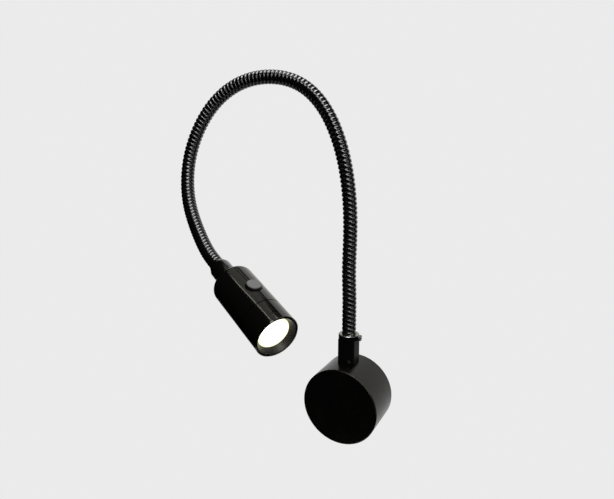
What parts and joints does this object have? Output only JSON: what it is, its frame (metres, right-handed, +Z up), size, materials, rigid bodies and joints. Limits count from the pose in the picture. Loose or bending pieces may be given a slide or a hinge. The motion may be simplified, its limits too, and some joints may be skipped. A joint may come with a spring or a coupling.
{
  "type": "wall reading lamp",
  "caption": "Wall reading lamp: drum base screwed to the wall, coupler block, ribbed gooseneck arm and a small cylindrical spot head with a push button.",
  "frame": {"origin": "centre of the drum's wall face, midway between the two wall screw holes", "axes": "+X to the right along the wall seen from the room, +Y into the wall, +Z up"},
  "size_m": [0.1781, 0.1237, 0.2826],
  "materials": {
    "satin_black_steel": "satin black lacquer on steel",
    "satin_black_alloy": "satin black lacquer on turned aluminium",
    "gloss_black_alloy": "gloss black lacquer on turned aluminium",
    "gloss_black_steel": "gloss black plated steel wire",
    "zinc_steel": "bright zinc plate",
    "brass": "bare brass",
    "black_rubber": "moulded",
    "white_silicone": "moulded",
    "cream_plastic": "moulded",
    "black_plastic": "moulded",
    "button_grey": "satin moulded",
    "circuit_board": "solder mask",
    "white_board": "white solder mask on aluminium",
    "ferrite": "sintered ferrite with tape",
    "capacitor_sleeve": "shrink sleeve",
    "led_phosphor": "phosphor window",
    "lens_frosted": "frosted diffuser",
    "grey_ring": "satin grey anodised",
    "mirror_reflector": "vacuum metallised",
    "bare_alloy": "as machined",
    "lead_sleeve": "two-core sleeve",
    "wire_red": "wire insulation"
  },
  "bodies": {
    "wall_base": {"drum_shell": "satin_black_steel", "shell_screws": "satin_black_steel", "wall_plate": "zinc_steel", "cable_grommet": "black_rubber", "terminal_block": "cream_plastic", "terminal_screws": "brass", "driver_tray": "black_plastic", "driver_board": "circuit_board", "driver_transformer": "ferrite", "driver_capacitors": "capacitor_sleeve", "earth_screw": "brass", "earth_tag": "zinc_steel", "drum_lead": "lead_sleeve", "stem_nipple": "zinc_steel", "nipple_washer": "zinc_steel", "nipple_nut": "zinc_steel", "coupler_block": "satin_black_alloy", "block_screw": "satin_black_steel", "clamp_screw": "satin_black_steel"},
    "arm_1": {"ferrule_lower": "zinc_steel", "hose_1": "gloss_black_steel", "lead_1": "lead_sleeve"},
    "arm_2": {"hose_2": "gloss_black_steel", "lead_2": "lead_sleeve"},
    "arm_3": {"hose_3": "gloss_black_steel", "lead_3": "lead_sleeve"},
    "arm_4": {"hose_4": "gloss_black_steel", "lead_4": "lead_sleeve"},
    "arm_5": {"hose_5": "gloss_black_steel", "lead_5": "lead_sleeve"},
    "arm_6": {"hose_6": "gloss_black_steel", "lead_6": "lead_sleeve"},
    "arm_7": {"hose_7": "gloss_black_steel", "lead_7": "lead_sleeve"},
    "head": {"hose_8": "gloss_black_steel", "lead_8": "lead_sleeve", "collar": "gloss_black_alloy", "collar_nut": "zinc_steel", "rear_housing": "gloss_black_alloy", "front_barrel": "gloss_black_alloy", "bezel_ring": "grey_ring", "lens": "lens_frosted", "lens_seal": "white_silicone", "reflector": "mirror_reflector", "led_board": "white_board", "led_chip": "led_phosphor", "board_screws": "zinc_steel", "heat_sink": "bare_alloy", "led_wires": "wire_red", "switch_board": "circuit_board", "switch_body": "black_plastic"},
    "button": {"button": "button_grey", "switch_plunger": "cream_plastic"}
  },
  "joints": [
    {"name": "arm_swivel", "type": "hinge", "parent": "wall_base", "child": "arm_1", "pos_m": [0, -0.01775, 0.05], "axis": [0, 0, 1], "range_deg": [-2, 90]},
    {"name": "bend_1", "type": "hinge", "parent": "arm_1", "child": "arm_2", "pos_m": [-0.00154, -0.01577, 0.11026], "axis": [1, 0, 0.0083], "range_deg": [0, 35], "deforming": ["hose_1", "lead_1", "hose_2", "lead_2"]},
    {"name": "bend_2", "type": "hinge", "parent": "arm_2", "child": "arm_3", "pos_m": [-0.00421, -0.01458, 0.16806], "axis": [0.0002, -1, -0.0093], "range_deg": [-50, 30], "deforming": ["hose_2", "lead_2", "hose_3", "lead_3"]},
    {"name": "bend_3", "type": "hinge", "parent": "arm_3", "child": "arm_4", "pos_m": [-0.02438, -0.01338, 0.22175], "axis": [-0.0982, -0.9951, 0.0094], "range_deg": [-45, 30], "deforming": ["hose_3", "lead_3", "hose_4", "lead_4"]},
    {"name": "bend_4", "type": "hinge", "parent": "arm_4", "child": "arm_5", "pos_m": [-0.07413, -0.01014, 0.24708], "axis": [0.0039, -0.9883, 0.1523], "range_deg": [-45, 25], "deforming": ["hose_4", "lead_4", "hose_5", "lead_5"]},
    {"name": "bend_5", "type": "hinge", "parent": "arm_5", "child": "arm_6", "pos_m": [-0.12602, -0.01377, 0.22629], "axis": [0.7504, -0.2125, -0.6259], "range_deg": [-40, 10], "deforming": ["hose_5", "lead_5", "hose_6", "lead_6"]},
    {"name": "bend_6", "type": "hinge", "parent": "arm_6", "child": "arm_7", "pos_m": [-0.14198, -0.02807, 0.17434], "axis": [-0.2903, -0.9101, 0.2956], "range_deg": [-45, 35], "deforming": ["hose_6", "lead_6", "hose_7", "lead_7"]},
    {"name": "bend_7", "type": "hinge", "parent": "arm_7", "child": "head", "pos_m": [-0.11461, -0.0527, 0.13119], "axis": [-0.6417, 0.0107, -0.7669], "range_deg": [-20, 40], "deforming": ["hose_7", "lead_7", "hose_8", "lead_8"]},
    {"name": "button_press", "type": "slide", "parent": "head", "child": "button", "axis": [-0.3034, 0.1579, -0.9397], "range_m": [0, 0.0012], "stiffness_N_per_m": 900, "springref_m": -0.0006}
  ]
}
